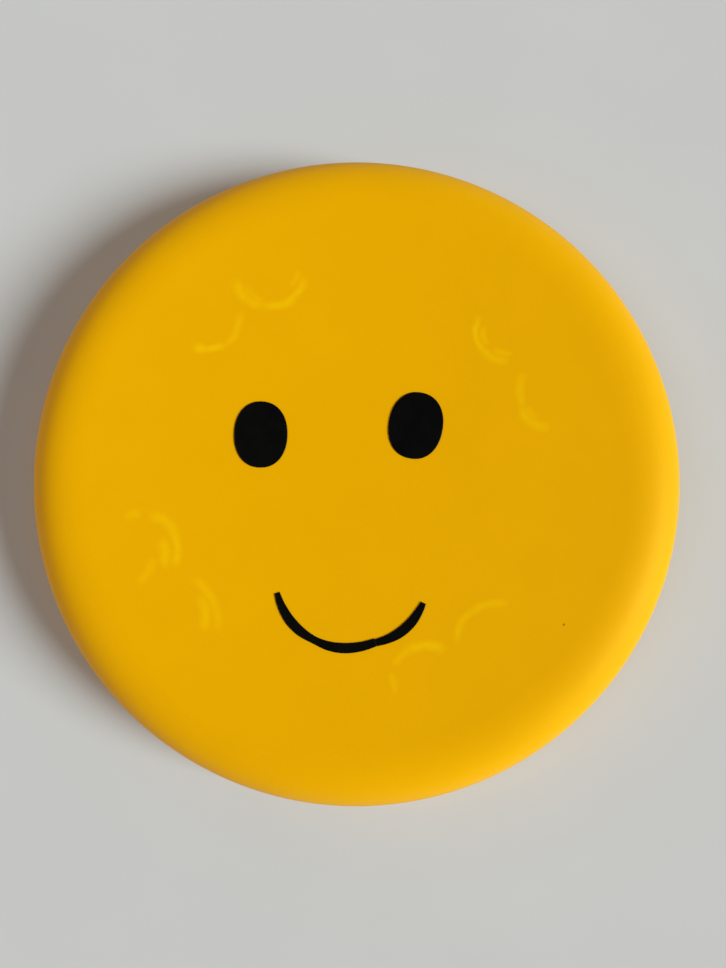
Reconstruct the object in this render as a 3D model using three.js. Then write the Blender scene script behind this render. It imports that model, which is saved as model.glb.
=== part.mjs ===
// Flying disc with a face of black adhesive film on its top.
// Millimetres, +Z up, +Y towards the forehead. The origin is the centre of the ring that the disc stands on.

import * as THREE from 'three';

// Disc, outside
const OUTER_RADIUS = 117.5;
const HEIGHT = 30;
const CREST_RADIUS = 97;       // ring where the dished plate turns into the shoulder
const DISH_DEPTH = 2.5;        // how far the plate's centre lies below the crest
const WIDEST_HEIGHT = 10;      // height of the widest ring, where the shoulder turns into the rim
const SHOULDER_FULLNESS = 2.7; // superellipse exponent of the shoulder: 2 is an ellipse, more is squarer
const LIP_TUCK = 1.2;          // how far the rim draws in again between its widest ring and its lip

// Disc, walls
const PLATE_THICKNESS = 2;
const WALL_THICKNESS = 2.4;
const LIP_WIDTH = 5;           // radial thickness of the bead along the lip
const LIP_HEIGHT = 7;          // height at which the bead has narrowed to the wall
const LIP_ROUNDING = 1.2;      // edge radius on both sides of the flat ring that the disc stands on

// Disc, moulded details under the plate
const GATE = { radius: 2, foot: 2.6, length: 0.3 };
const HUB = { radius: 14, step: 0.5 };
const RING = { radius: 58, width: 1.6, step: 0.5 };

// Film
const FILM_THICKNESS = 0.3;
const FILM_GAP = 0.05;         // adhesive layer between the plate and the film
const EYE_SQUARENESS = 2.2;    // superellipse exponent, as for the shoulder

// Eyes: centre, size and lean in degrees, anticlockwise
const LEFT_EYE = { x: -33.6, y: 13.3, width: 18.7, height: 23.4, lean: -0.7 };
const RIGHT_EYE = { x: 20.8, y: 16.5, width: 19.1, height: 23.7, lean: -9.7 };

// Mouth: each strip's centreline from left to right, with its width at each point.
// The strips meet 0.05 mm apart, the right one a little lower.
const LEFT_STRIP = [
  { x: -27.4, y: -41.8, width: 1.9 },
  { x: -26.1, y: -45.6, width: 2.7 },
  { x: -23.3, y: -50.6, width: 3.4 },
  { x: -19.3, y: -54.8, width: 3.3 },
  { x: -14.5, y: -57.8, width: 2.6 },
  { x: -9.3, y: -59.9, width: 3.2 },
  { x: -3.7, y: -60.6, width: 3.5 },
  { x: 1.9, y: -60, width: 3.2 },
  { x: 6.55, y: -58.65, width: 2.8 },
];
const RIGHT_STRIP = [
  { x: 6.65, y: -58.8, width: 2.5 },
  { x: 10.8, y: -57.5, width: 3 },
  { x: 15, y: -55.3, width: 3.5 },
  { x: 19.2, y: -51.5, width: 3.4 },
  { x: 22.2, y: -47, width: 2.5 },
  { x: 23.1, y: -45.2, width: 1.9 },
];

// Facets
const DISC_SEGMENTS = 96;
const TOP_STEPS = 8;
const SHOULDER_STEPS = 12;
const INNER_WALL_STEPS = 9;
const TUCK_STEPS = 3;
const BEAD_STEPS = 4;
const ROUNDING_STEPS = 3;
const EYE_SEGMENTS = 80;
const STRIP_STEPS = 40;

const plastic = { color: 0xe0a501, roughness: 0.55, metalness: 0 };
const film = { color: 0x0b0b0c, roughness: 0.4, metalness: 0 };

// Height of the plate's top at a distance from the axis, up to the crest
function plateHeight(radius) {
  const share = Math.min(radius / CREST_RADIUS, 1);
  return HEIGHT - DISH_DEPTH * (1 - share * share);
}

function point(radius, height) {
  return new THREE.Vector2(radius, height);
}

// The point at an angle in degrees on a superellipse of radius 1, which exponent 2 makes a circle
function superellipse(angle, exponent) {
  const radians = THREE.MathUtils.degToRad(angle);
  const raised = (value) => Math.sign(value) * Math.abs(value) ** (2 / exponent);
  return new THREE.Vector2(raised(Math.cos(radians)), raised(Math.sin(radians)));
}

// One face of the shoulder's wall, angles in degrees: 0 is the widest ring and 90 the crest
function shoulderArc(across, up, from, to, steps) {
  const points = [];
  for (let i = 0; i <= steps; i++) {
    const turn = superellipse(from + (to - from) * i / steps, SHOULDER_FULLNESS);
    points.push(point(CREST_RADIUS + across * turn.x, WIDEST_HEIGHT + up * turn.y));
  }
  return points;
}

// A rounding of the lip, angles in degrees from the outward direction
function lipRounding(radius, from, to) {
  const start = THREE.MathUtils.degToRad(from);
  const end = THREE.MathUtils.degToRad(to);
  return new THREE.EllipseCurve(radius, LIP_ROUNDING, LIP_ROUNDING, LIP_ROUNDING, start, end)
    .getPoints(ROUNDING_STEPS);
}

// A ring or a boss under the plate: its two lower corners, between two radii
function raisedUnder(inner, outer, step) {
  const top = (radius) => plateHeight(radius) - PLATE_THICKNESS;
  const corners = [point(outer, top(outer) - step), point(outer, top(outer))];
  if (inner > 0) {
    corners.unshift(point(inner, top(inner)), point(inner, top(inner) - step));
  }
  return corners;
}

// The plate's underside, from the gate in the middle to the crest
function undersideProfile() {
  const hubFace = plateHeight(0) - PLATE_THICKNESS - HUB.step;
  return [
    point(0, hubFace - GATE.length),
    point(GATE.radius, hubFace - GATE.length),
    point(GATE.foot, hubFace),
    ...raisedUnder(0, HUB.radius, HUB.step),
    point((HUB.radius + RING.radius) / 2, plateHeight((HUB.radius + RING.radius) / 2) - PLATE_THICKNESS),
    ...raisedUnder(RING.radius - RING.width / 2, RING.radius + RING.width / 2, RING.step),
    point((RING.radius + CREST_RADIUS) / 2, plateHeight((RING.radius + CREST_RADIUS) / 2) - PLATE_THICKNESS),
  ];
}

// The inner wall, from the crest down to the bead
function innerWallProfile() {
  const across = OUTER_RADIUS - WALL_THICKNESS - CREST_RADIUS;
  const up = HEIGHT - PLATE_THICKNESS - WIDEST_HEIGHT;
  return shoulderArc(across, up, 90, 0, INNER_WALL_STEPS);
}

// The bead: a smooth swelling of the wall, rounded on both sides of the flat ring at the bottom
function lipProfile() {
  const outer = OUTER_RADIUS - LIP_TUCK;
  const inner = outer - LIP_WIDTH;
  const wall = OUTER_RADIUS - WALL_THICKNESS;
  const swelling = [];
  for (let i = 0; i < BEAD_STEPS; i++) {
    const share = i / BEAD_STEPS;
    const height = LIP_HEIGHT + (LIP_ROUNDING - LIP_HEIGHT) * share;
    const swell = (1 - Math.cos(Math.PI * share)) / 2;
    swelling.push(point(wall + (inner - wall) * swell, height));
  }
  return [
    ...swelling,
    ...lipRounding(inner + LIP_ROUNDING, 180, 270),
    ...lipRounding(outer - LIP_ROUNDING, 270, 360),
  ];
}

// The outer wall, from the lip up to the crest
function outerWallProfile() {
  const tucked = [];
  for (let i = 1; i < TUCK_STEPS; i++) {
    const height = LIP_ROUNDING + (WIDEST_HEIGHT - LIP_ROUNDING) * i / TUCK_STEPS;
    const share = (WIDEST_HEIGHT - height) / (WIDEST_HEIGHT - LIP_ROUNDING);
    tucked.push(point(OUTER_RADIUS - LIP_TUCK * share * share, height));
  }
  const shoulder = shoulderArc(OUTER_RADIUS - CREST_RADIUS, HEIGHT - WIDEST_HEIGHT, 0, 90, SHOULDER_STEPS);
  return [...tucked, ...shoulder];
}

// The plate's top, from just inside the crest to the middle
function topProfile() {
  const points = [];
  for (let i = TOP_STEPS - 1; i >= 0; i--) {
    const radius = CREST_RADIUS * i / TOP_STEPS;
    points.push(point(radius, plateHeight(radius)));
  }
  return points;
}

// The whole disc is one moulding: a shell, open underneath
function discShell() {
  const profile = [
    ...undersideProfile(),
    ...innerWallProfile(),
    ...lipProfile(),
    ...outerWallProfile(),
    ...topProfile(),
  ];
  return new THREE.LatheGeometry(profile, DISC_SEGMENTS).rotateX(Math.PI / 2);
}

// Cuts a piece of film to an outline and lays it on the dished plate
function filmPiece(outline) {
  const options = { depth: FILM_THICKNESS, bevelEnabled: false };
  const geometry = new THREE.ExtrudeGeometry(new THREE.Shape(outline), options);
  const position = geometry.attributes.position;
  for (let i = 0; i < position.count; i++) {
    const radius = Math.hypot(position.getX(i), position.getY(i));
    position.setZ(i, position.getZ(i) + plateHeight(radius) + FILM_GAP);
  }
  return geometry;
}

// An oval a little squarer than an ellipse
function eyeOutline(eye) {
  const lean = THREE.MathUtils.degToRad(eye.lean);
  const half = new THREE.Vector2(eye.width / 2, eye.height / 2);
  const centre = new THREE.Vector2(eye.x, eye.y);
  const outline = [];
  for (let i = 0; i < EYE_SEGMENTS; i++) {
    const corner = superellipse(360 * i / EYE_SEGMENTS, EYE_SQUARENESS).multiply(half).add(centre);
    outline.push(corner.rotateAround(centre, lean));
  }
  return outline;
}

// A strip whose width varies along a smooth centreline
function stripOutline(stations) {
  const line = new THREE.CatmullRomCurve3(stations.map((s) => new THREE.Vector3(s.x, s.y, s.width)));
  const upper = [];
  const lower = [];
  for (let i = 0; i <= STRIP_STEPS; i++) {
    const middle = line.getPointAt(i / STRIP_STEPS);
    const along = line.getTangentAt(i / STRIP_STEPS);
    const across = new THREE.Vector2(-along.y, along.x).setLength(middle.z / 2);
    upper.push(new THREE.Vector2(middle.x + across.x, middle.y + across.y));
    lower.unshift(new THREE.Vector2(middle.x - across.x, middle.y - across.y));
  }
  return [...upper, ...lower];
}

function addPiece(group, name, geometry, material) {
  const mesh = new THREE.Mesh(geometry, new THREE.MeshStandardMaterial(material));
  mesh.name = name;
  group.add(mesh);
}

const disc = new THREE.Group();
addPiece(disc, 'disc_shell', discShell(), plastic);
addPiece(disc, 'left_eye', filmPiece(eyeOutline(LEFT_EYE)), film);
addPiece(disc, 'right_eye', filmPiece(eyeOutline(RIGHT_EYE)), film);
addPiece(disc, 'mouth_left_strip', filmPiece(stripOutline(LEFT_STRIP)), film);
addPiece(disc, 'mouth_right_strip', filmPiece(stripOutline(RIGHT_STRIP)), film);

export default disc;
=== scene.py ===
"""A yellow flying disc with a face of black film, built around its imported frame.

The disc is one satin moulding that has been used, with faint curved scuffs, a dark speck and a rubbed lip.
Each piece of film is a thin sheet with softened edges that follows the dished plate.
Shapes are worked out in millimetres and scaled to metres when the meshes are made.
"""

import math

import bmesh
import bpy
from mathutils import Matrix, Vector, noise


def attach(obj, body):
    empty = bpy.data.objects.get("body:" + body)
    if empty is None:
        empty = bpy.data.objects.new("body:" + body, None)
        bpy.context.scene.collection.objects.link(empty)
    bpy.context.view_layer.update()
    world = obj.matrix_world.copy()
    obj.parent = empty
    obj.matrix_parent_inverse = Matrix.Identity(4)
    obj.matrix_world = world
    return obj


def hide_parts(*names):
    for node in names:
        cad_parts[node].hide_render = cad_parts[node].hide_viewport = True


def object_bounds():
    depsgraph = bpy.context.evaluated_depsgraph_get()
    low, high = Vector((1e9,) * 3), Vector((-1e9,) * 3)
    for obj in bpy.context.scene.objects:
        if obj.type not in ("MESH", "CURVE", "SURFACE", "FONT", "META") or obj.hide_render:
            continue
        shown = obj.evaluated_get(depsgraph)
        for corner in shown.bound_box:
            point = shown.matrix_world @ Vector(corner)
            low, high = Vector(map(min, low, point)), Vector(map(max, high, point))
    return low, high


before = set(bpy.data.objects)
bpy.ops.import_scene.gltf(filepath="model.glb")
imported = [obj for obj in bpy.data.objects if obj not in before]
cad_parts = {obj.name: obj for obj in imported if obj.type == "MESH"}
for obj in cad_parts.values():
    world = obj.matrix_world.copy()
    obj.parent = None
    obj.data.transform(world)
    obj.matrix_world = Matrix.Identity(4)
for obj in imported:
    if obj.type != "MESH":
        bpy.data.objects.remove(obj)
cad_low, cad_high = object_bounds()

MM = 0.001

# Disc, in millimetres: the same dimensions as the CAD part
OUTER_RADIUS = (cad_high.x - cad_low.x) / 2 / MM
HEIGHT = (cad_high.z - cad_low.z) / MM
CREST_RADIUS = 97
DISH_DEPTH = 2.5
WIDEST_HEIGHT = 10
SHOULDER_FULLNESS = 2.7        # superellipse exponent of the shoulder: 2 is an ellipse, more is squarer
LIP_TUCK = 1.2
PLATE_THICKNESS = 2
WALL_THICKNESS = 2.4
LIP_WIDTH = 5
LIP_HEIGHT = 7
LIP_ROUNDING = 1.2
GATE_RADIUS, GATE_FOOT, GATE_LENGTH = 2, 2.6, 0.3
HUB_RADIUS, HUB_STEP = 14, 0.5
RING_RADIUS, RING_WIDTH, RING_STEP = 58, 1.6, 0.5

# Disc, finer than the CAD part
SEGMENTS = 288
SHOULDER_STEPS, INNER_WALL_STEPS = 32, 28
BEAD_STEPS, ROUNDING_STEPS = 14, 8
PROFILE_STEP = 2.2             # longest distance between two rings of the mesh
SHOULDER_END = 85.4            # degrees round the shoulder where the blend into the plate takes over
CREST_BLEND_IN, CREST_BLEND_OUT = 7, 3      # the plate turns into the shoulder over this width
MOULDED_ROUNDING = 0.2         # edges of the hub, ring and gate
PLATE_RESTART = 3              # the plate's rings start again this far outside the stacking ring
PARTING_HEIGHT = 4             # where the two halves of the mould met
PARTING_WIDTH, PARTING_RIDGE = 0.35, 0.12
WARP_DEPTH = 0.08              # how far the plate dips here and there
WARP_LENGTH = 55
WARP_HEIGHTS = (HEIGHT - 10, HEIGHT - 6)    # it fades out between these heights, so that the lip is flat
WARP_RADII = (CREST_RADIUS - 10, CREST_RADIUS + 8)      # and between these radii, across the crest

# Film
FILM_TOP = 0.35                # height of its upper face above the plate
FILM_STEP = 1.3                # distance between the points of its mesh
EDGE_STEP = 0.35
EDGE_PROFILE = ((0, 0), (0, 0.2), (0.03, 0.28), (0.1, 0.335), (0.2, FILM_TOP))      # inset and height
TOLERANCE = 1e-4               # points closer than this are one point
FILM_WRINKLE = 0.025           # share of the film's height
WRINKLE_LENGTH, FINE_WRINKLE_LENGTH = 5, 1.7
CORNER_TURN = math.radians(35)              # a sharper turn than this is a cut corner


# ---------------------------------------------------------------- shape of the disc

def smooth_step(value, low, high):
    share = min(max((value - low) / (high - low), 0), 1)
    return share * share * (3 - 2 * share)


def plate_height(radius):
    """Height of the plate's upper face, up to the crest."""
    share = min(radius / CREST_RADIUS, 1)
    return HEIGHT - DISH_DEPTH * (1 - share * share)


def shoulder_height(radius):
    share = (radius - CREST_RADIUS) / (OUTER_RADIUS - CREST_RADIUS)
    rise = (1 - share**SHOULDER_FULLNESS) ** (1 / SHOULDER_FULLNESS)
    return WIDEST_HEIGHT + (HEIGHT - WIDEST_HEIGHT) * rise


def crest_height(radius):
    """The soft turn from the plate into the shoulder: a cubic with the slope of each at its two ends."""
    start = CREST_RADIUS - CREST_BLEND_IN
    end = CREST_RADIUS + CREST_BLEND_OUT
    nudge = 0.01
    start_slope = (plate_height(start) - plate_height(start - nudge)) / nudge
    end_slope = (shoulder_height(end + nudge) - shoulder_height(end)) / nudge
    width = end - start
    t = (radius - start) / width
    return ((2 * t**3 - 3 * t**2 + 1) * plate_height(start) + (t**3 - 2 * t**2 + t) * width * start_slope
            + (3 * t**2 - 2 * t**3) * shoulder_height(end) + (t**3 - t**2) * width * end_slope)


def waves(x, y, length, pattern):
    """Smooth waves between -1 and 1, about length millimetres long. Each pattern number gives other waves."""
    return noise.noise(Vector((x / length, y / length, pattern)))


def warp(x, y):
    """How far the plate dips at a place, from 0 down to -WARP_DEPTH. The shoulder doesn't dip."""
    inside = 1 - smooth_step(math.hypot(x, y), *WARP_RADII)
    return -WARP_DEPTH * (0.5 + 0.5 * waves(x, y, WARP_LENGTH, 3.7)) * inside


def top_height(x, y):
    return plate_height(math.hypot(x, y)) + warp(x, y)


def shoulder_arc(across, up, start, end, steps):
    """One face of the shoulder's wall, angles in degrees: 0 is the widest ring and 90 the crest."""
    power = 2 / SHOULDER_FULLNESS
    points = []
    for step in range(steps + 1):
        angle = math.radians(start + (end - start) * step / steps)
        radius = CREST_RADIUS + across * math.cos(angle)**power
        height = WIDEST_HEIGHT + up * math.sin(angle)**power
        points.append((radius, height))
    return points


def lip_rounding(centre, start, end):
    """A rounded edge of the lip, angles in degrees from the outward direction."""
    points = []
    for step in range(ROUNDING_STEPS + 1):
        angle = math.radians(start + (end - start) * step / ROUNDING_STEPS)
        radius = centre[0] + LIP_ROUNDING * math.cos(angle)
        height = centre[1] + LIP_ROUNDING * math.sin(angle)
        points.append((radius, height))
    return points


def with_round_corners(corners, rounding, steps=4):
    """Replaces every corner between the first and the last by a short curve."""
    points = [corners[0]]
    for before, corner, after in zip(corners, corners[1:], corners[2:]):
        here = Vector(corner)
        start = here + (Vector(before) - here).normalized() * rounding
        end = here + (Vector(after) - here).normalized() * rounding
        for step in range(steps + 1):
            t = step / steps
            points.append(tuple((1 - t)**2 * start + 2 * t * (1 - t) * here + t**2 * end))
    return points + [corners[-1]]


def with_short_steps(points, longest):
    """Divides the long steps of a line, so that no two points lie further apart than longest."""
    refined = [points[0]]
    for start, end in zip(points, points[1:]):
        pieces = math.ceil(math.dist(start, end) / longest)
        for piece in range(1, pieces + 1):
            share = piece / pieces
            refined.append((start[0] + (end[0] - start[0]) * share, start[1] + (end[1] - start[1]) * share))
    return refined


def underside_profile():
    """The gate, the hub, the stacking ring and the plate between them, from the middle outwards."""
    def under(radius):
        return plate_height(radius) - PLATE_THICKNESS

    hub_face = under(0) - HUB_STEP
    ring_inner = RING_RADIUS - RING_WIDTH / 2
    ring_outer = RING_RADIUS + RING_WIDTH / 2
    corners = [
        (0, hub_face - GATE_LENGTH),
        (GATE_RADIUS, hub_face - GATE_LENGTH),
        (GATE_FOOT, hub_face),
        (HUB_RADIUS, under(HUB_RADIUS) - HUB_STEP),
        (HUB_RADIUS, under(HUB_RADIUS)),
        (ring_inner, under(ring_inner)),
        (ring_inner, under(ring_inner) - RING_STEP),
        (ring_outer, under(ring_outer) - RING_STEP),
        (ring_outer, under(ring_outer)),
    ]
    dished = [(radius, under(radius)) for radius in range(RING_RADIUS + PLATE_RESTART, CREST_RADIUS)]
    return with_round_corners(corners, MOULDED_ROUNDING) + dished


def bead_profile():
    """The bead along the lip: the wall swells, and the disc stands on a flat ring with two rounded edges."""
    outer = OUTER_RADIUS - LIP_TUCK
    inner = outer - LIP_WIDTH
    wall = OUTER_RADIUS - WALL_THICKNESS
    points = []
    for step in range(BEAD_STEPS):
        share = step / BEAD_STEPS
        height = LIP_HEIGHT + (LIP_ROUNDING - LIP_HEIGHT) * share
        swell = (1 - math.cos(math.pi * share)) / 2
        points.append((wall + (inner - wall) * swell, height))
    points += lip_rounding((inner + LIP_ROUNDING, LIP_ROUNDING), 180, 270)
    return points + lip_rounding((outer - LIP_ROUNDING, LIP_ROUNDING), 270, 360)


def tuck_profile():
    """The outer wall between the lip and the widest ring, with the fine ridge of the parting line."""
    def outside(height):
        share = (WIDEST_HEIGHT - height) / (WIDEST_HEIGHT - LIP_ROUNDING)
        return OUTER_RADIUS - LIP_TUCK * share * share

    points = []
    for half in range(3, 2 * WIDEST_HEIGHT):
        height = half / 2
        if abs(height - PARTING_HEIGHT) > PARTING_WIDTH:
            points.append((outside(height), height))
        elif height == PARTING_HEIGHT:
            for share in (-1, -0.6, -0.25, 0.25, 0.6, 1):
                ridge = PARTING_RIDGE * (1 - share * share)
                level = height + share * PARTING_WIDTH / 2
                points.append((outside(level) + ridge, level))
    return points


def top_profile():
    """The shoulder, the crest and the plate, from the widest ring inwards."""
    shoulder = shoulder_arc(OUTER_RADIUS - CREST_RADIUS, HEIGHT - WIDEST_HEIGHT,
                            0, SHOULDER_END, SHOULDER_STEPS)
    crest = []
    start = CREST_RADIUS - CREST_BLEND_IN
    end = CREST_RADIUS + CREST_BLEND_OUT
    for half in range(2 * end, 2 * start, -1):
        crest.append((half / 2, crest_height(half / 2)))
    plate = [(radius, plate_height(radius)) for radius in range(start, -1, -2)]
    return shoulder + crest + plate


def inner_wall_profile():
    """The inside of the shoulder, and the straight wall between it and the bead."""
    wall = OUTER_RADIUS - WALL_THICKNESS
    shoulder = shoulder_arc(wall - CREST_RADIUS, HEIGHT - PLATE_THICKNESS - WIDEST_HEIGHT,
                            90, 0, INNER_WALL_STEPS)
    return shoulder + [(wall, height) for height in range(WIDEST_HEIGHT - 1, LIP_HEIGHT, -1)]


def disc_profile():
    """Half of the disc's section: along the underside, round the lip and back over the top."""
    points = underside_profile() + inner_wall_profile() + bead_profile() + tuck_profile() + top_profile()
    return with_short_steps(points, PROFILE_STEP)


# ---------------------------------------------------------------- meshes

def add_object(name, data):
    added = bpy.data.objects.new(name, data)
    bpy.context.scene.collection.objects.link(added)
    return added


def add_mesh(name, mesh):
    """Makes an object of a bmesh, and frees the bmesh."""
    data = bpy.data.meshes.new(name)
    mesh.to_mesh(data)
    mesh.free()
    return add_object(name, data)


def turned_faces(rings):
    """The faces of a turned mesh: between its rings, and in a fan from the vertex at each end of the axis."""
    faces = []
    for ring in range(rings - 1):
        for segment in range(SEGMENTS):
            after = (segment + 1) % SEGMENTS
            here = ring * SEGMENTS
            above = here + SEGMENTS
            faces.append((here + segment, here + after, above + after, above + segment))
    last = (rings - 1) * SEGMENTS
    bottom = rings * SEGMENTS
    top = bottom + 1
    for segment in range(SEGMENTS):
        after = (segment + 1) % SEGMENTS
        faces.append((bottom, after, segment))
        faces.append((top, last + segment, last + after))
    return faces


def build_disc():
    """Turns the profile round the axis. Its two ends lie on the axis, so each is one vertex."""
    profile = disc_profile()
    vertices = []
    for radius, height in profile[1:-1]:
        plate_share = smooth_step(height, *WARP_HEIGHTS)
        for segment in range(SEGMENTS):
            angle = 2 * math.pi * segment / SEGMENTS
            x = radius * math.cos(angle)
            y = radius * math.sin(angle)
            vertices.append((x, y, height + warp(x, y) * plate_share))
    for radius, height in (profile[0], profile[-1]):
        vertices.append((radius, 0, height + warp(0, 0)))
    mesh = bpy.data.meshes.new("disc_moulding")
    mesh.from_pydata([Vector(v) * MM for v in vertices], [], turned_faces(len(profile) - 2))
    mesh.shade_smooth()
    return add_object("disc_moulding", mesh)


def cad_outline(node):
    """The outline of a flat CAD piece from above, in millimetres, as points in order round it."""
    mesh = bmesh.new()
    mesh.from_mesh(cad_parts[node].data)
    bmesh.ops.remove_doubles(mesh, verts=mesh.verts, dist=1e-6)
    mesh.normal_update()
    bmesh.ops.delete(mesh, geom=[f for f in mesh.faces if f.normal.z < 0.5], context="FACES")
    start = next(v for v in mesh.verts if v.is_boundary)
    outline = []
    before, here = None, start
    while here is not start or not outline:
        outline.append(Vector((here.co.x, here.co.y)) / MM)
        rim = [e.other_vert(here) for e in here.link_edges if e.is_boundary]
        after = next(v for v in rim if v is not before)
        before, here = here, after
    mesh.free()
    area = sum(a.x * b.y - b.x * a.y for a, b in zip(outline, outline[1:] + outline[:1]))
    return outline if area > 0 else outline[::-1]


def is_corner(before, here, after):
    return (here - before).angle(after - here) > CORNER_TURN


def smooth_outline(outline):
    """Puts more points between those of an outline, on a smooth curve that keeps its cut corners."""
    count = len(outline)
    corners = [is_corner(outline[i - 1], outline[i], outline[(i + 1) % count]) for i in range(count)]
    points = []
    for i in range(count):
        start, end = outline[i], outline[(i + 1) % count]
        before = start * 2 - end if corners[i] else outline[i - 1]
        after = end * 2 - start if corners[(i + 1) % count] else outline[(i + 2) % count]
        pieces = math.ceil((end - start).length / EDGE_STEP)
        for piece in range(pieces):
            t = piece / pieces
            points.append(0.5 * (2 * start + (end - before) * t
                                 + (2 * before - 5 * start + 4 * end - after) * t**2
                                 + (3 * start - before - 3 * end + after) * t**3))
    return points


def inset_outline(outline, distance):
    """Moves an anticlockwise outline inwards."""
    moved = []
    for before, here, after in zip(outline[-1:] + outline, outline, outline[1:] + outline[:1]):
        along = ((here - before).normalized() + (after - here).normalized()).normalized()
        moved.append(here + Vector((-along.y, along.x)) * distance)
    return moved


def film_sheet(outline):
    """A flat piece of film with rounded edges, as a bmesh. Its upper face is one polygon."""
    mesh = bmesh.new()
    rings = []
    for inset, height in EDGE_PROFILE:
        ring = inset_outline(outline, inset)
        rings.append([mesh.verts.new((p.x, p.y, height)) for p in ring])
    for lower, upper in zip(rings, rings[1:]):
        for i in range(len(outline)):
            mesh.faces.new((lower[i - 1], lower[i], upper[i], upper[i - 1]))
    mesh.faces.new(rings[0][::-1])
    mesh.faces.new(rings[-1])
    return mesh


def cut_into_grid(mesh, outline):
    """Cuts the upper face of a sheet both ways, so that it can follow the plate."""
    for axis, normal in enumerate((Vector((1, 0, 0)), Vector((0, 1, 0)))):
        low = min(p[axis] for p in outline)
        high = max(p[axis] for p in outline)
        for cut in range(1, math.ceil((high - low) / FILM_STEP)):
            upper_face = [f for f in mesh.faces if all(v.co.z > FILM_TOP - TOLERANCE for v in f.verts)]
            edges = {e for f in upper_face for e in f.edges}
            bmesh.ops.bisect_plane(mesh, geom=upper_face + list(edges), dist=TOLERANCE,
                                   plane_co=normal * (low + cut * FILM_STEP), plane_no=normal)
    bmesh.ops.triangulate(mesh, faces=[f for f in mesh.faces if len(f.verts) > 4])


def film_height(x, y, height):
    """Height of a point of the sheet once the film lies on the plate, slightly wrinkled."""
    wrinkle = waves(x, y, WRINKLE_LENGTH, 8.1) + 0.5 * waves(x, y, FINE_WRINKLE_LENGTH, 2.3)
    return top_height(x, y) + height * (1 + FILM_WRINKLE * wrinkle)


def build_film(name, node):
    """A sheet cut to the outline of its CAD piece and draped on the plate."""
    outline = smooth_outline(cad_outline(node))
    mesh = film_sheet(outline)
    cut_into_grid(mesh, outline)
    for vertex in mesh.verts:
        vertex.co.z = film_height(vertex.co.x, vertex.co.y, vertex.co.z)
        vertex.co *= MM
    piece = add_mesh(name, mesh)
    piece.data.shade_smooth()
    return piece


# ---------------------------------------------------------------- materials

def add_node(tree, kind, inputs=None, **settings):
    """Adds a node. An input given as a socket is linked, and anything else is its value."""
    node = tree.nodes.new(kind)
    for name, value in settings.items():
        setattr(node, name, value)
    for name, value in (inputs or {}).items():
        if isinstance(value, bpy.types.NodeSocket):
            tree.links.new(value, node.inputs[name])
        else:
            node.inputs[name].default_value = value
    return node


def calculate(tree, operation, *values):
    inputs = dict(enumerate(values))
    return add_node(tree, "ShaderNodeMath", inputs, operation=operation).outputs[0]


def vector_math(tree, operation, first, second, output=0):
    inputs = {0: first, 1: second}
    return add_node(tree, "ShaderNodeVectorMath", inputs, operation=operation).outputs[output]


def fade(tree, value, start, end):
    """1 where the value is at start, 0 where it is at end, smooth between them."""
    inputs = {"Value": value, "From Min": start, "From Max": end, "To Min": 1.0, "To Max": 0.0}
    node = add_node(tree, "ShaderNodeMapRange", inputs, interpolation_type="SMOOTHSTEP")
    return node.outputs["Result"]


def between(tree, value, low, high):
    """Turns a value from 0 to 1 into one from low to high."""
    inputs = {"Value": value, "To Min": low, "To Max": high}
    return add_node(tree, "ShaderNodeMapRange", inputs).outputs["Result"]


def mottle(tree, place, size, detail=2.0, stretch=None):
    """Noise from 0 to 1 whose blotches are about size millimetres across. Stretch scales the three axes."""
    if stretch:
        place = vector_math(tree, "MULTIPLY", place, stretch)
    inputs = {"Vector": place, "Scale": 1 / size, "Detail": detail}
    return add_node(tree, "ShaderNodeTexNoise", inputs).outputs["Fac"]


def mix_colours(tree, factor, first, second):
    node = add_node(tree, "ShaderNodeMix", data_type="RGBA")
    sockets = {socket.identifier: socket for socket in node.inputs}
    for identifier, value in (("Factor_Float", factor), ("A_Color", first), ("B_Color", second)):
        if isinstance(value, bpy.types.NodeSocket):
            tree.links.new(value, sockets[identifier])
        else:
            sockets[identifier].default_value = value
    return next(socket for socket in node.outputs if socket.identifier == "Result_Color")


def bump(tree, height, depth, below=None):
    """A bump of a depth in millimetres, over another one if there is one."""
    inputs = {"Height": height, "Strength": 1.0, "Distance": depth * MM}
    if below is not None:
        inputs["Normal"] = below
    return add_node(tree, "ShaderNodeBump", inputs).outputs["Normal"]


def start_material(name):
    """A new material, its shader, and the place on the object in millimetres."""
    material = bpy.data.materials.new(name)
    material.use_nodes = True
    tree = material.node_tree
    shader = tree.nodes["Principled BSDF"]
    coordinates = add_node(tree, "ShaderNodeTexCoord")
    place = vector_math(tree, "MULTIPLY", coordinates.outputs["Object"], (1 / MM, 1 / MM, 1 / MM))
    return material, tree, shader, place


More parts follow.
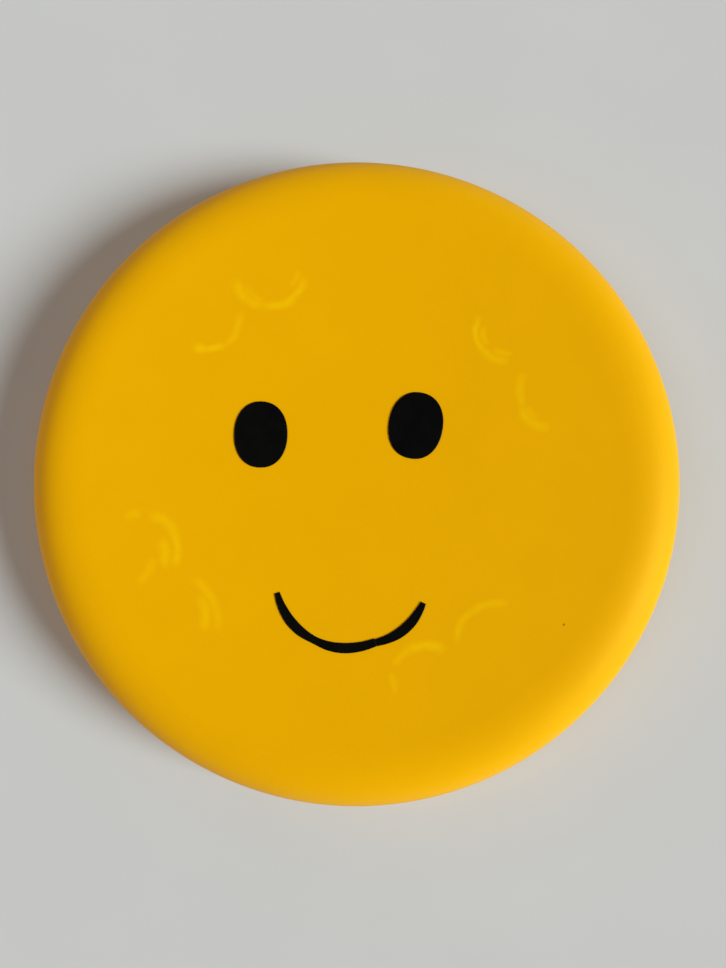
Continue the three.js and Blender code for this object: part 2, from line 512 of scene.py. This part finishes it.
def stroke_group():
    """A node group for one soft curved stroke: part of a circle, seen from above."""
    group = bpy.data.node_groups.new("scuff_stroke", "ShaderNodeTree")
    for name in ("Place", "Centre", "Middle"):
        group.interface.new_socket(name, in_out="INPUT", socket_type="NodeSocketVector")
    for name in ("Radius", "Half width", "End", "Fading", "Strength"):
        group.interface.new_socket(name, in_out="INPUT", socket_type="NodeSocketFloat")
    group.interface.new_socket("Amount", in_out="OUTPUT", socket_type="NodeSocketFloat")
    given = group.nodes.new("NodeGroupInput").outputs
    result = group.nodes.new("NodeGroupOutput")
    offset = vector_math(group, "SUBTRACT", given["Place"], given["Centre"])
    offset = vector_math(group, "MULTIPLY", offset, (1.0, 1.0, 0.0))
    reach = vector_math(group, "LENGTH", offset, (0.0, 0.0, 0.0), output=1)
    aside = calculate(group, "ABSOLUTE", calculate(group, "SUBTRACT", reach, given["Radius"]))
    across = fade(group, aside, 0.0, given["Half width"])
    outward = vector_math(group, "NORMALIZE", offset, (0.0, 0.0, 0.0))
    facing = vector_math(group, "DOT_PRODUCT", outward, given["Middle"], output=1)
    along = fade(group, facing, given["Fading"], given["End"])
    amount = calculate(group, "MULTIPLY", calculate(group, "MULTIPLY", across, along), given["Strength"])
    group.links.new(amount, result.inputs["Amount"])
    return group


# Scuffs on the plate, left by something with round feet: x, y and radius of the circle that each stroke is
# part of, where it begins and ends in degrees anticlockwise, its width, and its strength. Millimetres.
SCUFFS = (
    (-31.0, 72.1, 13.1, 192, 270, 5.6, 0.60),
    (-29.8, 72.6, 12.0, 206, 262, 5.0, 0.35),
    (-31.0, 72.2, 13.3, 250, 354, 4.6, 0.75),
    (-31.3, 73.2, 10.7, 314, 356, 3.8, 0.40),
    (-53.0, 55.6, 11.9, 240, 306, 5.0, 0.80),
    (-52.6, 55.0, 11.4, 286, 376, 4.4, 0.50),
    (52.6, 49.9, 10.5, 146, 232, 3.8, 0.75),
    (52.6, 49.9, 10.5, 208, 282, 4.4, 0.60),
    (52.9, 50.1, 8.1, 164, 222, 3.6, 0.45),
    (52.8, 50.1, 8.1, 230, 288, 3.8, 0.45),
    (76.1, 29.0, 18.7, 158, 204, 4.4, 0.50),
    (68.1, 26.2, 10.6, 188, 274, 5.2, 0.60),
    (68.1, 26.2, 8.8, 196, 244, 4.4, 0.35),
    (48.0, -58.8, 13.5, 68, 138, 4.6, 0.55),
    (48.0, -58.8, 13.6, 110, 186, 3.8, 0.55),
    (23.8, -71.1, 11.4, 50, 130, 5.8, 0.75),
    (23.8, -71.1, 11.4, 106, 162, 4.6, 0.50),
    (24.9, -71.1, 12.3, 168, 204, 3.8, 0.40),
    (-74.4, -27.2, 12.6, -32, 36, 4.8, 0.70),
    (-74.3, -27.1, 12.5, 14, 84, 6.0, 0.60),
    (-74.3, -27.0, 12.7, 90, 120, 4.4, 0.45),
    (-75.6, -29.1, 9.6, -30, 40, 6.4, 0.60),
    (-79.7, -30.6, 9.1, -64, 10, 5.6, 0.40),
    (-62.1, -51.3, 14.6, -20, 80, 4.8, 0.50),
    (-69.5, -50.3, 17.7, -18, 30, 6.0, 0.60),
)
STROKE_CORE = 0.35               # share of a stroke that has its full strength before it fades to its ends
STROKE_SWAY, SWAY_LENGTH = 2.2, 7
SPECK = (71.0, -52.5, 0.45)      # x, y and radius

YELLOW = (0.765, 0.374, 0.0005, 1.0)
SCUFFED_YELLOW = (0.85, 0.50, 0.001, 1.0)
SPECK_BROWN = (0.36, 0.16, 0.002, 1.0)


def above_underside(tree, place):
    """0 up to the highest point of the underside and 1 just above it, where the outer plate has its marks."""
    height = add_node(tree, "ShaderNodeSeparateXYZ", {"Vector": place}).outputs["Z"]
    highest = HEIGHT - PLATE_THICKNESS
    return fade(tree, height, highest + 0.2, highest)


def swayed(tree, place):
    """The place moved sideways by about a millimetre at most, so that a stroke drawn there wanders."""
    inputs = {"Vector": place, "Scale": 1 / SWAY_LENGTH, "Detail": 1.0}
    sway = add_node(tree, "ShaderNodeTexNoise", inputs).outputs["Color"]
    sway = vector_math(tree, "SUBTRACT", sway, (0.5, 0.5, 0.5))
    sway = vector_math(tree, "MULTIPLY", sway, (STROKE_SWAY, STROKE_SWAY, 0.0))
    return vector_math(tree, "ADD", place, sway)


def scuff_amount(tree, place):
    """How scuffed the plastic is, from 0 to 1. The strokes wander a little and are broken in places."""
    swayed_place = swayed(tree, place)
    group = stroke_group()
    total = 0.0
    for x, y, radius, start, end, width, strength in SCUFFS:
        middle = math.radians((start + end) / 2)
        half_turn = math.radians((end - start) / 2)
        node = add_node(tree, "ShaderNodeGroup", node_tree=group)
        tree.links.new(swayed_place, node.inputs["Place"])
        node.inputs["Centre"].default_value = (x, y, 0)
        node.inputs["Middle"].default_value = (math.cos(middle), math.sin(middle), 0)
        node.inputs["Radius"].default_value = radius
        node.inputs["Half width"].default_value = width / 2
        node.inputs["End"].default_value = math.cos(half_turn)
        node.inputs["Fading"].default_value = math.cos(half_turn * STROKE_CORE)
        node.inputs["Strength"].default_value = strength
        total = calculate(tree, "MAXIMUM", total, node.outputs["Amount"])
    broken = between(tree, mottle(tree, place, 2.6, detail=3.0), 0.45, 1.3)
    amount = calculate(tree, "MULTIPLY", total, broken)
    return calculate(tree, "MULTIPLY", amount, above_underside(tree, place))


def speck_amount(tree, place):
    """1 in the dark speck and 0 outside it."""
    x, y, radius = SPECK
    flat_place = vector_math(tree, "MULTIPLY", place, (1.0, 1.0, 0.0))
    distance = vector_math(tree, "DISTANCE", flat_place, (x, y, 0), output=1)
    amount = fade(tree, distance, radius * 0.5, radius * 1.3)
    return calculate(tree, "MULTIPLY", amount, above_underside(tree, place))


def rubbing_amount(tree, place):
    """How rubbed the lip is, from 0 to 1, in patches."""
    height = add_node(tree, "ShaderNodeSeparateXYZ", {"Vector": place}).outputs["Z"]
    patches = fade(tree, mottle(tree, place, 2.5, detail=4.0, stretch=(1, 1, 2)), 0.62, 0.42)
    return calculate(tree, "MULTIPLY", fade(tree, height, 0.3, 2.6), patches)


def scratch_lines(tree, place):
    """Sparse hairlines in three directions."""
    total = 0.0
    for turn, size, where in ((20, 30, 4.0), (75, 24, 17.0), (140, 34, 29.0)):
        inputs = {"Vector": place, "Rotation": (0, 0, math.radians(turn)), "Location": (where, 0, 0)}
        turned = add_node(tree, "ShaderNodeMapping", inputs).outputs["Vector"]
        streaks = mottle(tree, turned, size, detail=5.0, stretch=(1, 45, 1))
        total = calculate(tree, "MAXIMUM", total, fade(tree, streaks, 0.72, 0.66))
    return total


def plastic_colour(tree, place, scuffs, rubbing):
    """Slightly uneven yellow, with the scuffs, the speck and the rubbed lip."""
    broad = mottle(tree, place, 28, detail=2.0)
    fine = mottle(tree, place, 1.1, detail=2.0)
    tone = calculate(tree, "ADD", between(tree, broad, 0.97, 1.03), between(tree, fine, -0.015, 0.015))
    tone = add_node(tree, "ShaderNodeCombineXYZ", {"X": tone, "Y": tone, "Z": tone}).outputs["Vector"]
    colour = vector_math(tree, "MULTIPLY", YELLOW[:3], tone)
    colour = mix_colours(tree, scuffs, colour, SCUFFED_YELLOW)
    colour = mix_colours(tree, speck_amount(tree, place), colour, SPECK_BROWN)
    return mix_colours(tree, calculate(tree, "MULTIPLY", rubbing, 0.45), colour, SCUFFED_YELLOW)


def plastic_roughness(tree, place, scuffs, rubbing):
    """Satin in broad patches, duller where the plastic is scuffed or rubbed."""
    satin = between(tree, mottle(tree, place, 16, detail=3.0), 0.44, 0.58)
    satin = calculate(tree, "ADD", satin, calculate(tree, "MULTIPLY", scuffs, 0.12))
    return calculate(tree, "ADD", satin, calculate(tree, "MULTIPLY", rubbing, 0.15))


def plastic_relief(tree, place):
    """Long shallow waves, the mould's fine grain, and hairline scratches."""
    normal = bump(tree, mottle(tree, place, 9, detail=1.0), 0.05)
    normal = bump(tree, mottle(tree, place, 0.55, detail=3.0), 0.012, below=normal)
    return bump(tree, scratch_lines(tree, place), 0.006, below=normal)


def disc_plastic():
    """Satin yellow plastic, with the grain of its mould and the marks of use."""
    material, tree, shader, place = start_material("disc_plastic")
    scuffs = scuff_amount(tree, place)
    rubbing = rubbing_amount(tree, place)
    tree.links.new(plastic_colour(tree, place, scuffs, rubbing), shader.inputs["Base Color"])
    tree.links.new(plastic_roughness(tree, place, scuffs, rubbing), shader.inputs["Roughness"])
    tree.links.new(plastic_relief(tree, place), shader.inputs["Normal"])
    shader.inputs["Specular IOR Level"].default_value = 0.15
    shader.inputs["Specular Tint"].default_value = (1.0, 0.75, 0.01, 1.0)
    return material


def face_film():
    """Black self-adhesive film: satin, with a fine grain and a faint haze of handling."""
    material, tree, shader, place = start_material("face_film")
    haze = mottle(tree, place, 6, detail=3.0)
    tint = between(tree, haze, 0.0008, 0.0022)
    tree.links.new(tint, shader.inputs["Base Color"])
    tree.links.new(between(tree, haze, 0.22, 0.32), shader.inputs["Roughness"])
    shader.inputs["Specular IOR Level"].default_value = 0.12
    normal = bump(tree, mottle(tree, place, 2.5, detail=2.0), 0.02)
    normal = bump(tree, mottle(tree, place, 0.35, detail=2.0), 0.006, below=normal)
    tree.links.new(normal, shader.inputs["Normal"])
    return material


def floor_paint():
    material, tree, shader, place = start_material("floor_paint")
    tone = between(tree, mottle(tree, place, 60, detail=3.0), 0.535, 0.565)
    tree.links.new(tone, shader.inputs["Base Color"])
    shader.inputs["Roughness"].default_value = 1.0
    shader.inputs["Specular IOR Level"].default_value = 0.0
    return material


# ---------------------------------------------------------------- the object

def add_piece(piece, material, node):
    piece.data.materials.append(material)
    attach(piece, "root")
    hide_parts(node)


plastic = disc_plastic()
film = face_film()
add_piece(build_disc(), plastic, "disc_shell")
for node_name in ("left_eye", "right_eye", "mouth_left_strip", "mouth_right_strip"):
    add_piece(build_film(node_name + "_film", node_name), film, node_name)


# ---------------------------------------------------------------- studio

CAMERA_PLACE = (2.28, -22.73, 281.13)       # millimetres
CAMERA_TILT = 4.2              # degrees from straight down, towards +Y
CAMERA_LENS = 27.04
FLOOR_RADIUS = 8000
HORIZON_GLOW, OVERHEAD_GLOW = 0.57, 0.1


def build_floor():
    mesh = bmesh.new()
    bmesh.ops.create_circle(mesh, cap_ends=True, segments=128, radius=FLOOR_RADIUS * MM)
    floor = add_mesh("floor", mesh)
    floor.data.materials.append(floor_paint())


def add_camera():
    data = bpy.data.cameras.new("camera")
    data.lens = CAMERA_LENS
    data.clip_start = 0.01
    camera = add_object("camera", data)
    camera.location = Vector(CAMERA_PLACE) * MM
    camera.rotation_euler = (math.radians(CAMERA_TILT), 0, 0)
    bpy.context.scene.camera = camera


def add_light(name, azimuth, elevation, spread, strength, colour):
    """A large distant softbox: a round light that covers spread degrees and lights the whole floor evenly."""
    data = bpy.data.lights.new(name, "SUN")
    data.angle = math.radians(spread)
    data.energy = strength
    data.color = colour
    light = add_object(name, data)
    around = math.radians(azimuth)
    up = math.radians(elevation)
    towards = Vector((math.cos(around) * math.cos(up), math.sin(around) * math.cos(up), math.sin(up)))
    light.location = towards * 2
    light.rotation_euler = towards.to_track_quat("Z", "Y").to_euler()


def light_world():
    """Pale at the horizon, like the floor, and dimmer overhead."""
    world = bpy.data.worlds.new("studio")
    world.use_nodes = True
    bpy.context.scene.world = world
    tree = world.node_tree
    direction = add_node(tree, "ShaderNodeTexCoord").outputs["Generated"]
    height = add_node(tree, "ShaderNodeSeparateXYZ", {"Vector": direction}).outputs["Z"]
    strength = between(tree, fade(tree, height, 0.05, 0.75), OVERHEAD_GLOW, HORIZON_GLOW)
    tree.links.new(strength, tree.nodes["Background"].inputs["Strength"])
    tree.nodes["Background"].inputs["Color"].default_value = (1, 1, 1, 1)


build_floor()
add_camera()
light_world()
add_light("key_light", -16, 31, 24, 3.9, (1.0, 1.1, 1.12))
add_light("fill_light", 185, 55, 30, 0.75, (1.0, 0.75, 0.55))
bpy.context.scene.view_settings.view_transform = "Standard"
